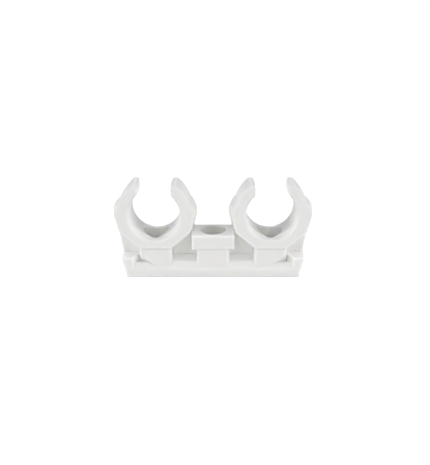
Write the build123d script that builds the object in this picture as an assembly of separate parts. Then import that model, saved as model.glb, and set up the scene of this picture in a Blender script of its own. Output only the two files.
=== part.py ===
from build123d import *
import math
import os

# Sizes in millimetres and angles in degrees. X runs along the row of clips, Y along the pipes and
# Z up from the wall. The origin is the middle of the flat underside.

# The pipes, their spacing and the screws
pipe_diameter = 22.0
clip_pitch = 52.0
axis_height = 30.7
mouth_width = 15.0
screw_hole_diameter = 5.5
screw_head_diameter = 11.8
screw_seat_diameter = 10.6
screw_seat_height = 8.4

# Depth along the pipes, and the slopes that let the two mould halves open along Y
depth = 15.2
ring_draft = 2.0
yoke_draft = 9.0
block_draft = 2.5

# The snap ring: it sits a little lower than the pipe, so it is thicker at its foot than at its tips
ring_wall = 5.33
ring_drop = 0.52
tip_width = 2.4
tip_inner_rounding = 1.0
tip_outer_rounding = 1.0
rim_chamfer = 0.35

# The seat: a straight land at mid depth that opens a little towards both rims
land_length = 4.0
rim_growth = 0.25
rim_drop = 0.22

# The wide lead-in round the lower front rim, which fades out below the lips
lead_growth = 0.75
lead_drop = 1.35
lead_depth = 2.8

# The yoke that carries the ring, measured down from the pipe axis: flat foot, slanted flanks,
# leaning sides and rounded shoulders that slant at 45 degrees
yoke_foot_drop = 16.9
yoke_foot_half = 6.9
yoke_corner_drop = 9.2
yoke_corner_half = 15.75
yoke_lean = 0.25
shoulder_reach = 19.7
yoke_corner_rounding = 1.6
shoulder_rounding = 6.0

# The middle rib, one plate along the parting plane under each yoke
rib_thickness = 3.6
rib_foot_half = 13.7
rib_top_drop = 6.0
rib_inset = 0.05

# The stems under the rings and the pedestal under the slab, with feet that run out into the floors
stem_width = 14.7
stem_recess = 0.7
stem_rounding = 1.1
foot_flare = 1.5
foot_setback = 0.6

# The slab between the clips
slab_width = 19.24
slab_bottom = 13.55
slab_top = 20.3
slab_rounding = 0.7

# The rail: upright front, bevel, and pocket floors that climb to the rib
rail_front_height = 3.6
bevel_height = 7.15
bevel_run = 1.85
bevel_rounding = 3.0
floor_rounding = 0.8
floor_height = 9.3
end_half = 39.3
end_lean = 0.2
end_draft = 1.0

# The raised rail ends and the low pocket between each of them and its stem
ear_front_height = 9.3
ear_back_height = 10.4
ear_front_half = 10.6
ear_back_half = 7.9
ear_rounding = 0.8
corner_floor = 6.6
corner_back = 3.6

# The slanted relief on the outer front corner of each stem
relief_height = 11.2
relief_reach = 1.4

# Sizes that follow from the ones above
seat_radius = pipe_diameter / 2
half_depth = depth / 2
ring_radius = seat_radius + ring_wall
ring_height = axis_height - ring_drop
tip_half = mouth_width / 2 + tip_width
tip_height = ring_height + math.sqrt(ring_radius**2 - tip_half**2)
stem_half = stem_width / 2
stem_face = half_depth - stem_recess
slab_middle = (slab_bottom + slab_top) / 2
rib_half = rib_thickness / 2
clip_places = (-clip_pitch / 2, clip_pitch / 2)

# How far cutters run past what they cut, and how close a corner lies to the place it is looked for
beyond = 10.0
near = 0.01


def spread(reach, draft):
    """How much wider a drafted solid is at the parting plane than at its face."""
    return reach * math.tan(math.radians(draft))


def across(sketch, reach, draft=0.0):
    """A flat outline in X and Z made solid both ways from the parting plane, narrowing by the draft."""
    return extrude(Plane.XZ * sketch, amount=reach, both=True, taper=draft)


def outline(points):
    """A closed outline through the points."""
    return make_face(Polyline(*points, close=True))


def both_sides(right):
    """A closed outline through points on the right, given from the bottom up, and their mirror images."""
    return outline(right + [(-x, z) for x, z in reversed(right)])


def upright(half_width, low, high):
    """An upright rectangle centred on X = 0 between two heights."""
    return both_sides([(half_width, low), (half_width, high)])


def corners(sketch, x, z):
    """The corners of an outline at a distance from the middle and a height."""
    return sketch.vertices().filter_by(lambda v: abs(abs(v.X) - x) < near and abs(v.Y - z) < near)


def face_edges(solid, reach):
    """The edges of the two flat faces at a distance from the parting plane."""
    return solid.edges().filter_by(lambda e: abs(abs(e.center().Y) - reach) < near)


def arm():
    """The right half of the snap ring, with a rounded tip, before the pipe is cut."""
    inner = mouth_width / 2
    low = ring_height - ring_radius - beyond
    strip = outline([(inner, low), (clip_pitch, low), (clip_pitch, tip_height), (inner, tip_height)])
    flat = strip & Pos(0, ring_height) * Circle(ring_radius)
    foot = ring_height - math.sqrt(ring_radius**2 - inner**2)
    flat = fillet(corners(flat, inner, tip_height) + corners(flat, inner, foot), tip_inner_rounding)
    flat = fillet(corners(flat, tip_half, tip_height), tip_outer_rounding)
    wide = offset(flat, spread(half_depth, ring_draft))
    solid = across(wide, half_depth, ring_draft)
    return chamfer(face_edges(solid, half_depth), rim_chamfer)


def yoke():
    """The block with flanks and shoulders that carries the ring."""
    corner_height = axis_height - yoke_corner_drop
    rise = (shoulder_reach + yoke_corner_drop - yoke_corner_half) / (1 + yoke_lean)
    high = seat_radius / 2
    shoulder = (yoke_corner_half + yoke_lean * rise, corner_height + rise)
    flat = both_sides([
        (yoke_foot_half, axis_height - yoke_foot_drop),
        (yoke_corner_half, corner_height),
        shoulder,
        (shoulder_reach - high, axis_height + high),
    ])
    flat = fillet(corners(flat, yoke_corner_half, corner_height), yoke_corner_rounding)
    flat = fillet(corners(flat, *shoulder), shoulder_rounding)
    wide = offset(flat, spread(half_depth, yoke_draft), kind=Kind.INTERSECTION)
    solid = across(wide, half_depth, yoke_draft)
    return chamfer(face_edges(solid, half_depth), rim_chamfer)


def rib():
    """The plate at mid depth that stiffens one clip, from the wall up into the sides of the yoke."""
    side = yoke_corner_half + yoke_lean * (yoke_corner_drop - rib_top_drop)
    side += spread(half_depth, yoke_draft) * math.sqrt(1 + yoke_lean**2) - rib_inset
    flat = both_sides([(rib_foot_half, 0), (side, axis_height - rib_top_drop)])
    return across(flat, rib_half, yoke_draft)


def waisted(half_width, reach):
    """A plan outline that narrows from the parting plane to its two faces by the block draft."""
    rise = spread(reach, block_draft)
    right = [(half_width, -reach), (half_width + rise, 0), (half_width, reach)]
    return both_sides(right)


def post(top):
    """An upright block from the wall to a height, a little behind the front of the rail."""
    plan = waisted(stem_half, stem_face)
    plan = fillet(corners(plan, stem_half, stem_face) + corners(plan, stem_half, -stem_face), stem_rounding)
    return extrude(plan, amount=top, dir=(0, 0, 1))


def flare(side):
    """The curved foot on one side of a post, where it runs out into the pocket floor."""
    square = Pos(stem_half, bevel_height) * Rectangle(foot_flare, foot_flare, align=(Align.MIN, Align.MIN))
    flat = square - Pos(stem_half + foot_flare, bevel_height + foot_flare) * Circle(foot_flare)
    solid = across(flat, half_depth - bevel_run - foot_setback)
    return solid if side > 0 else mirror(solid, about=Plane.YZ)


def relief(outward, front):
    """The half space that a slanted plane cuts from the lower outer corner of a stem."""
    edge = outward * stem_half
    face = front * stem_face
    high = Vector(edge, face, relief_height)
    near_middle = Vector(outward * relief_reach, face, corner_floor)
    deep = Vector(edge, front * corner_back, corner_floor)
    corner = Vector(edge, face, corner_floor)
    normal = (near_middle - high).cross(deep - high).normalized()
    if normal.dot(corner - high) < 0:
        normal = -normal
    reach = clip_pitch
    return Plane(origin=high, z_dir=normal) * Pos(0, 0, reach / 2) * Box(reach, reach, reach)


def stem(outward):
    """The post under one ring, relieved at its two outer lower corners."""
    solid = post(axis_height - (yoke_foot_drop + yoke_corner_drop) / 2)
    return solid - relief(outward, 1) - relief(outward, -1) + flare(-outward)


def slab():
    """The block between the clips, sloped both ways from the parting plane."""
    rise = spread(half_depth, block_draft)
    plan = extrude(waisted(slab_width / 2, half_depth), amount=tip_height, dir=(0, 0, 1))
    upper = [(half_depth, slab_bottom), (half_depth, slab_top), (0, slab_top + rise)]
    lower = [(-half_depth, slab_top), (-half_depth, slab_bottom), (0, slab_bottom - rise)]
    solid = plan & along(outline(upper + lower))
    return fillet(face_edges(solid, half_depth), slab_rounding)


def along(section):
    """A cross-section in Y and Z made solid along X, past both ends of the rail."""
    return extrude(Plane.YZ * section, amount=end_half + beyond, both=True)


def ear():
    """The raised end of the rail beside the right clip, with a slanted wall towards its stem."""
    section = both_sides([(half_depth, 0), (half_depth, ear_front_height), (rib_half, ear_back_height)])
    block = along(fillet(corners(section, half_depth, ear_front_height), ear_rounding))
    slant = (ear_front_half - ear_back_half) / (half_depth - corner_back)
    past = (ear_front_half + slant * beyond, half_depth + beyond)
    inner = [(0, corner_back), (ear_back_half, corner_back), past, (clip_pitch, half_depth + beyond)]
    plan = outline(inner + [(x, -y) for x, y in reversed(inner)])
    return extrude(plan, amount=ear_back_height + beyond, dir=(0, 0, 1)) & Pos(-clip_pitch / 2) * block


def rail():
    """The bevelled base bar with its raised ends."""
    crest = half_depth - bevel_run
    section = both_sides([
        (half_depth, 0),
        (half_depth, rail_front_height),
        (crest, bevel_height),
        (rib_half, floor_height),
    ])
    section = fillet(corners(section, half_depth, rail_front_height), bevel_rounding)
    section = fillet(corners(section, crest, bevel_height), floor_rounding)
    bar = along(section)
    high = ear_back_height + beyond
    pocket = Box(ear_front_half, depth, high, align=(Align.MIN, Align.CENTER, Align.MIN))
    pocket -= Box(clip_pitch, 2 * corner_back, 2 * high)
    for place in clip_places:
        hollow = pocket if place > 0 else mirror(pocket, about=Plane.YZ)
        end = ear() if place > 0 else mirror(ear(), about=Plane.YZ)
        bar -= Pos(place, 0, corner_floor) * hollow
        bar += Pos(place, 0, 0) * end
    limit = both_sides([(end_half - end_lean * high, -high), (end_half + end_lean * high, high)])
    limit = offset(limit, spread(half_depth, end_draft), kind=Kind.INTERSECTION)
    return bar & across(limit, half_depth, end_draft)


def disc(y, drop, radius):
    """A round face across the pipe axis, lowered from it by the drop."""
    return Plane((0, y, axis_height - drop), x_dir=(1, 0, 0), z_dir=(0, -1, 0)) * Circle(radius)


def seat():
    """What the pipe takes from one clip: the straight land, both flares and the lead-in."""
    room = extrude(disc(0, 0, seat_radius), amount=depth, both=True)
    for side in (-1, 1):
        rim = disc(side * half_depth, rim_drop, seat_radius + rim_growth)
        room += loft([disc(side * land_length / 2, 0, seat_radius), rim])
    lead = disc(-half_depth, lead_drop, seat_radius + lead_growth)
    return room + loft([disc(lead_depth - half_depth, 0, seat_radius), lead])


def screw():
    """The room for one screw: the shank hole and the tapered seat for its head."""
    low = (Align.CENTER, Align.CENTER, Align.MIN)
    shank = Cylinder(screw_hole_diameter / 2, tip_height, align=low)
    taper = Cone(screw_seat_diameter / 2, screw_head_diameter / 2, slab_top - screw_seat_height, align=low)
    way = Cylinder(screw_head_diameter / 2, tip_height, align=low)
    return shank + Pos(0, 0, screw_seat_height) * taper + Pos(0, 0, slab_top) * way


def clip(outward):
    """One whole clip on its stem, standing on X = 0."""
    right = arm()
    solid = right + mirror(right, about=Plane.YZ) + yoke() + rib()
    return solid - seat() + stem(outward)


# The rail with the pedestal and the slab, and the web between the stems, which ties the ribs to the slab
body = rail() + post(slab_middle) + flare(1) + flare(-1) + slab()
body += across(upright(clip_pitch / 2, 0, slab_bottom), rib_half)
body += across(upright(clip_pitch / 2 - rib_foot_half, 0, slab_middle), rib_half)
for place in clip_places:
    body += Pos(place, 0, 0) * clip(math.copysign(1, place))
for place in (clip_places[0], 0, clip_places[1]):
    body -= Pos(place, 0, 0) * screw()

os.makedirs("parts", exist_ok=True)
body.label = "double_pipe_clip"
export_step(body, "parts/double_pipe_clip.step")
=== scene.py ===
"""Dresses and lights a white moulded double pipe clip, seen from the front and a little above."""
import logging
import math
from dataclasses import dataclass, field
from enum import Enum, IntEnum

import bpy
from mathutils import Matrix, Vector

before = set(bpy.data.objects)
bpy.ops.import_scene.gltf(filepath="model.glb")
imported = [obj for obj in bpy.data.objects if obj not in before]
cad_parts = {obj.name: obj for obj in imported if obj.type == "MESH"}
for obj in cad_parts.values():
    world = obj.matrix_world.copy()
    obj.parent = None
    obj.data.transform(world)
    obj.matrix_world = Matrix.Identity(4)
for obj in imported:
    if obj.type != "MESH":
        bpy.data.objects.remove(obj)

LOG = logging.getLogger("double_pipe_clip")
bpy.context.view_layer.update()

Tone = tuple[float, float, float]
WHITE: Tone = (1.0, 1.0, 1.0)


class Hanging(Enum):
    """Whether a lamp stands alone or has a twin on the other side of the clip."""

    ALONE = (1,)
    PAIR = (-1, 1)


class Run(Enum):
    """How a ramp runs between its two ends."""

    EVEN = "LINEAR"
    EASED = "SMOOTHSTEP"


class MixInput(IntEnum):
    """Where a colour mix takes in its share and its two colours."""

    SHARE = 0
    FIRST = 6
    SECOND = 7


class MixOutput(IntEnum):
    """Where a colour mix gives out its colour."""

    COLOUR = 2


def opaque(tone: Tone) -> tuple[float, float, float, float]:
    """Gives a colour its full alpha."""
    return (*tone, 1.0)


class NodeBench:
    """A small helper that adds nodes to a material or world and links them."""

    def __init__(self, tree: bpy.types.NodeTree) -> None:
        """Takes over the tree and clears it.

        Args:
            tree: the node tree to fill.
        """
        self.tree = tree
        self.tree.nodes.clear()

    def add(self, kind: str, **values: object) -> bpy.types.Node:
        """Adds one node and sets its properties or its input sockets.

        Args:
            kind: Blender's name for the node type.
            values: property names of the node, or input names with spaces written as underscores.

        Returns:
            The new node.
        """
        node = self.tree.nodes.new(kind)
        for name, value in values.items():
            if hasattr(node, name):
                setattr(node, name, value)
            else:
                node.inputs[name.replace("_", " ")].default_value = value
        return node

    def join(self, source: bpy.types.NodeSocket, target: bpy.types.NodeSocket) -> None:
        """Links an output socket to an input socket."""
        self.tree.links.new(source, target)

    def maths(self, operation: str, *sources: bpy.types.NodeSocket) -> bpy.types.NodeSocket:
        """Works out one value from one or two others.

        Args:
            operation: Blender's name for the operation.
            sources: the sockets with the values.

        Returns:
            The socket with the result.
        """
        node = self.add("ShaderNodeMath", operation=operation)
        for source, target in zip(sources, node.inputs):
            self.join(source, target)
        return node.outputs["Value"]

    def ramp(
        self,
        source: bpy.types.NodeSocket,
        span: tuple[float, float],
        ends: tuple[float, float],
        run: Run = Run.EVEN,
    ) -> bpy.types.NodeSocket:
        """Turns a value into another by a ramp that is level outside its span.

        Args:
            source: the socket with the value.
            span: the values at which the ramp starts and stops.
            ends: what it gives at those two values.
            run: how it runs between them.

        Returns:
            The socket with the result.
        """
        node = self.add("ShaderNodeMapRange", interpolation_type=run.value)
        for name, value in zip(("From Min", "From Max", "To Min", "To Max"), span + ends):
            node.inputs[name].default_value = value
        self.join(source, node.inputs["Value"])
        return node.outputs["Result"]

    def mix(
        self, share: bpy.types.NodeSocket, first: Tone | bpy.types.NodeSocket, second: Tone
    ) -> bpy.types.NodeSocket:
        """Mixes two colours.

        Args:
            share: the socket with the share of the second colour.
            first: the first colour, or the socket that gives it.
            second: the second colour.

        Returns:
            The socket with the mixed colour.
        """
        node = self.add("ShaderNodeMix", data_type="RGBA")
        self.join(share, node.inputs[MixInput.SHARE])
        if isinstance(first, tuple):
            node.inputs[MixInput.FIRST].default_value = opaque(first)
        else:
            self.join(first, node.inputs[MixInput.FIRST])
        node.inputs[MixInput.SECOND].default_value = opaque(second)
        return node.outputs[MixOutput.COLOUR]


@dataclass(frozen=True)
class MouldedPlastic:
    """White polypropylene as it comes out of a satin mould, with its lengths in metres."""

    name: str = "white_moulded_plastic"
    light_tone: Tone = (0.856, 0.85, 0.826)
    dark_tone: Tone = (0.832, 0.825, 0.8)
    # painted highlight: the lighter tone that the base colour takes along convex edges
    edge_highlight_tone: Tone = (0.95, 0.945, 0.925)
    edge_radius: float = 0.0008
    edge_samples: int = 6
    tip_radius: float = 0.0026
    tip_foot: float = 0.027
    tip_top: float = 0.034
    # reach, fill and samples of the inside occlusion that finds the edges for the painted highlight
    highlight_reach: float = 0.0014
    highlight_fill: float = 0.55
    highlight_samples: int = 8
    ring_foot: float = 0.021
    ring_side: float = 0.027
    # share of the painted edge highlight left high up the rings
    ring_highlight_share: float = 0.2
    flow_scale: float = 55.0
    flow_detail: float = 4.0
    flow_roughness: float = 0.55
    grain_scale: float = 2600.0
    grain_detail: float = 3.0
    grain_height: float = 0.00002
    grain_strength: float = 0.2
    seam_half_width: float = 0.00006
    seam_height: float = 0.00003
    seam_strength: float = 0.5
    smooth: float = 0.36
    rough: float = 0.48
    refraction: float = 1.49
    glow_depth: float = 0.0012
    glow_share: float = 0.7
    glow_colour: Tone = (1.0, 0.95, 0.82)

    def material(self) -> bpy.types.Material:
        """Builds the plastic from object coordinates, so that it stays put in every view.

        Returns:
            The finished material.
        """
        made = bpy.data.materials.new(self.name)
        made.use_nodes = True
        bench = NodeBench(made.node_tree)
        place = bench.add("ShaderNodeTexCoord").outputs["Object"]
        axes = bench.add("ShaderNodeSeparateXYZ")
        bench.join(place, axes.inputs["Vector"])
        flow = self.flow(bench, place)
        shader = bench.add("ShaderNodeBsdfPrincipled", IOR=self.refraction)
        shader.inputs["Subsurface Weight"].default_value = self.glow_share
        shader.inputs["Subsurface Radius"].default_value = self.glow_colour
        shader.inputs["Subsurface Scale"].default_value = self.glow_depth
        bench.join(self.colour(bench, axes, flow), shader.inputs["Base Color"])
        shine = bench.ramp(flow, (0.0, 1.0), (self.smooth, self.rough))
        bench.join(shine, shader.inputs["Roughness"])
        bench.join(self.skin(bench, place, axes), shader.inputs["Normal"])
        out = bench.add("ShaderNodeOutputMaterial")
        bench.join(shader.outputs["BSDF"], out.inputs["Surface"])
        return made

    def flow(self, bench: NodeBench, place: bpy.types.NodeSocket) -> bpy.types.NodeSocket:
        """Makes the faint clouds that the flow of the melt leaves in the plastic.

        Args:
            bench: the material's node bench.
            place: the socket with the object coordinates.

        Returns:
            The socket with the strength of the flow, from nought to one.
        """
        clouds = bench.add("ShaderNodeTexNoise", Scale=self.flow_scale, Detail=self.flow_detail)
        clouds.inputs["Roughness"].default_value = self.flow_roughness
        bench.join(place, clouds.inputs["Vector"])
        return clouds.outputs["Fac"]

    def colour(
        self, bench: NodeBench, axes: bpy.types.Node, flow: bpy.types.NodeSocket
    ) -> bpy.types.NodeSocket:
        """Mixes the body tones by the flow of the melt and paints a highlight along the convex edges,
        weaker up the rings.

        Args:
            bench: the material's node bench.
            axes: the node that splits the object coordinates.
            flow: the socket with the strength of the flow.

        Returns:
            The socket with the colour.
        """
        body = bench.mix(flow, self.dark_tone, self.light_tone)
        # painted highlight: convex edges found by inside occlusion are lightened towards the highlight
        # tone, less so higher up the rings
        depth = bench.add("ShaderNodeAmbientOcclusion", inside=True, samples=self.highlight_samples)
        depth.inputs["Distance"].default_value = self.highlight_reach
        painted_highlight = bench.ramp(depth.outputs["AO"], (1.0, self.highlight_fill), (0.0, 1.0))
        rings = (self.ring_foot, self.ring_side)
        low = bench.ramp(axes.outputs["Z"], rings, (1.0, self.ring_highlight_share), Run.EASED)
        return bench.mix(bench.maths("MULTIPLY", painted_highlight, low), body, self.edge_highlight_tone)

    def soft_edges(self, bench: NodeBench, axes: bpy.types.Node) -> bpy.types.NodeSocket:
        """Rounds the look of the edges, the most at the tips.

        Args:
            bench: the material's node bench.
            axes: the node that splits the object coordinates.

        Returns:
            The socket with the normal of the softened edges.
        """
        tips = (self.tip_foot, self.tip_top)
        radius = bench.ramp(axes.outputs["Z"], tips, (self.edge_radius, self.tip_radius))
        edges = bench.add("ShaderNodeBevel", samples=self.edge_samples)
        bench.join(radius, edges.inputs["Radius"])
        return edges.outputs["Normal"]

    def skin(
        self, bench: NodeBench, place: bpy.types.NodeSocket, axes: bpy.types.Node
    ) -> bpy.types.NodeSocket:
        """Raises the satin grain of the mould and the fine seam where its halves met.

        Args:
            bench: the material's node bench.
            place: the socket with the object coordinates.
            axes: the node that splits them.

        Returns:
            The socket with the surface normal.
        """
        grain = bench.add("ShaderNodeTexNoise", Scale=self.grain_scale, Detail=self.grain_detail)
        bench.join(place, grain.inputs["Vector"])
        satin = bench.add("ShaderNodeBump", Strength=self.grain_strength, Distance=self.grain_height)
        bench.join(grain.outputs["Fac"], satin.inputs["Height"])
        bench.join(self.soft_edges(bench, axes), satin.inputs["Normal"])
        away = bench.maths("ABSOLUTE", axes.outputs["Y"])
        ridge = bench.ramp(away, (0.0, self.seam_half_width), (1.0, 0.0), Run.EASED)
        seam = bench.add("ShaderNodeBump", Strength=self.seam_strength, Distance=self.seam_height)
        bench.join(ridge, seam.inputs["Height"])
        bench.join(satin.outputs["Normal"], seam.inputs["Normal"])
        return seam.outputs["Normal"]


@dataclass(frozen=True)
class PalePaper:
    """The paper of the stage: matt, and white to the camera where no shadow falls on it."""

    name: str = "pale_stage_paper"
    tone: Tone = (0.86, 0.86, 0.86)
    lift: float = 0.36

    def material(self) -> bpy.types.Material:
        """Builds the paper; only what the camera or a reflection sees is lifted, not the light it throws.

        Returns:
            The finished material.
        """
        made = bpy.data.materials.new(self.name)
        made.use_nodes = True
        bench = NodeBench(made.node_tree)
        matt = bench.add("ShaderNodeBsdfDiffuse", Color=opaque(self.tone))
        rays = bench.add("ShaderNodeLightPath").outputs
        direct = bench.maths("MAXIMUM", rays["Is Camera Ray"], rays["Is Glossy Ray"])
        seen = bench.maths("MAXIMUM", direct, rays["Is Transmission Ray"])
        glow = bench.add("ShaderNodeEmission", Color=opaque(WHITE))
        bench.join(bench.ramp(seen, (0.0, 1.0), (0.0, self.lift)), glow.inputs["Strength"])
        both = bench.add("ShaderNodeAddShader")
        bench.join(matt.outputs["BSDF"], both.inputs[0])
        bench.join(glow.outputs["Emission"], both.inputs[1])
        out = bench.add("ShaderNodeOutputMaterial")
        bench.join(both.outputs["Shader"], out.inputs["Surface"])
        return made


@dataclass
class DoubleClip:
    """The moulding itself, shown by its own solid."""

    node: str = "double_pipe_clip"
    plastic: MouldedPlastic = field(default_factory=MouldedPlastic)

    def dress(self) -> bpy.types.Object:
        """Gives the solid its plastic.

        Returns:
            The dressed object.
        """
        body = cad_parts[self.node]
        body.data.materials.clear()
        body.data.materials.append(self.plastic.material())
        LOG.info("%s dressed in %s", body.name, self.plastic.name)
        return body


@dataclass
class Stage:
    """The wide paper floor that the clip stands on."""

    half: float = 6.0
    paper: PalePaper = field(default_factory=PalePaper)

    def build(self) -> bpy.types.Object:
        """Lays the floor and keeps it out of the part.

        Returns:
            The floor.
        """
        mesh = bpy.data.meshes.new("stage_floor")
        rim = [(x * self.half, y * self.half, 0.0) for x, y in ((-1, -1), (1, -1), (1, 1), (-1, 1))]
        mesh.from_pydata(rim, [], [tuple(range(len(rim)))])
        mesh.materials.append(self.paper.material())
        floor = bpy.data.objects.new("stage_floor", mesh)
        bpy.context.scene.collection.objects.link(floor)
        LOG.info("%s laid", floor.name)
        return floor


@dataclass(frozen=True)
class SoftLamp:
    """A far round lamp behind diffusing cloth; its bearing, height and spread are in degrees."""

    name: str
    hanging: Hanging
    bearing: float
    height: float
    strength: float
    spread: float = 24.0
    tint: Tone = (0.975, 0.98, 1.0)

    def build(self) -> list[bpy.types.Object]:
        """Hangs the lamp, and its twin if it has one, facing the clip.

        Returns:
            The lamps.
        """
        hung = []
        rise = math.radians(self.height)
        level = math.cos(rise)
        for side in self.hanging.value:
            turn = math.radians(side * self.bearing)
            towards = Vector((math.sin(turn) * level, -math.cos(turn) * level, math.sin(rise)))
            data = bpy.data.lights.new(self.name, "SUN")
            data.angle = math.radians(self.spread)
            data.energy = self.strength
            data.color = self.tint
            lamp = bpy.data.objects.new(self.name, data)
            lamp.location = towards
            lamp.rotation_euler = (-towards).to_track_quat("-Z", "Y").to_euler()
            bpy.context.scene.collection.objects.link(lamp)
            hung.append(lamp)
        LOG.info("%s hung", self.name)
        return hung


@dataclass
class Studio:
    """The lamps round the clip, in a room that gives no light of its own."""

    lamps: tuple[SoftLamp, ...] = (
        SoftLamp("front_lamp", Hanging.ALONE, 0.0, 22.0, 0.55),
        SoftLamp("corner_lamp", Hanging.PAIR, 40.0, 38.0, 0.52),
        SoftLamp("low_lamp", Hanging.PAIR, 60.0, 8.0, 0.28),
        SoftLamp("side_lamp", Hanging.PAIR, 80.0, 22.0, 1.0),
        SoftLamp("high_lamp", Hanging.PAIR, 120.0, 55.0, 0.68),
        SoftLamp("back_lamp", Hanging.ALONE, 180.0, 22.0, 0.24),
    )

    def build(self) -> None:
        """Hangs the lamps and makes the room white where the camera sees it."""
        for lamp in self.lamps:
            lamp.build()
        world = bpy.data.worlds.new("studio_room")
        bpy.context.scene.world = world
        world.use_nodes = True
        bench = NodeBench(world.node_tree)
        rays = bench.add("ShaderNodeLightPath").outputs
        room = bench.add("ShaderNodeBackground", Color=opaque(WHITE))
        bench.join(rays["Is Camera Ray"], room.inputs["Strength"])
        out = bench.add("ShaderNodeOutputWorld")
        bench.join(room.outputs["Background"], out.inputs["Surface"])


@dataclass
class ViewPoint:
    """The camera, a quarter of a metre in front of the clip and looking down at it."""

    place: tuple[float, float, float] = (0.000898, -0.25171, 0.11733)
    look_down: float = 21.34
    focal_pixels: float = 588.32
    frame_height: float = 465.0
    film_height: float = 24.0
    nearest: float = 0.01

    def build(self) -> bpy.types.Object:
        """Sets up the camera with its whole frame in focus.

        Returns:
            The camera.
        """
        data = bpy.data.cameras.new("clip_camera")
        data.sensor_fit = "VERTICAL"
        data.sensor_height = self.film_height
        data.sensor_width = self.film_height
        data.lens = self.focal_pixels * self.film_height / self.frame_height
        data.clip_start = self.nearest
        camera = bpy.data.objects.new("clip_camera", data)
        camera.location = self.place
        camera.rotation_euler = (math.radians(90.0 - self.look_down), 0.0, 0.0)
        bpy.context.scene.collection.objects.link(camera)
        bpy.context.scene.camera = camera
        LOG.info("%s set up", camera.name)
        return camera


def main() -> None:
    """Builds the clip's finish, the stage, the light and the camera, in that order."""
    logging.basicConfig(level=logging.INFO, format="%(name)s: %(message)s")
    bpy.context.scene.view_settings.view_transform = "Standard"
    DoubleClip().dress()
    Stage().build()
    Studio().build()
    ViewPoint().build()


if __name__ == "__main__":
    main()
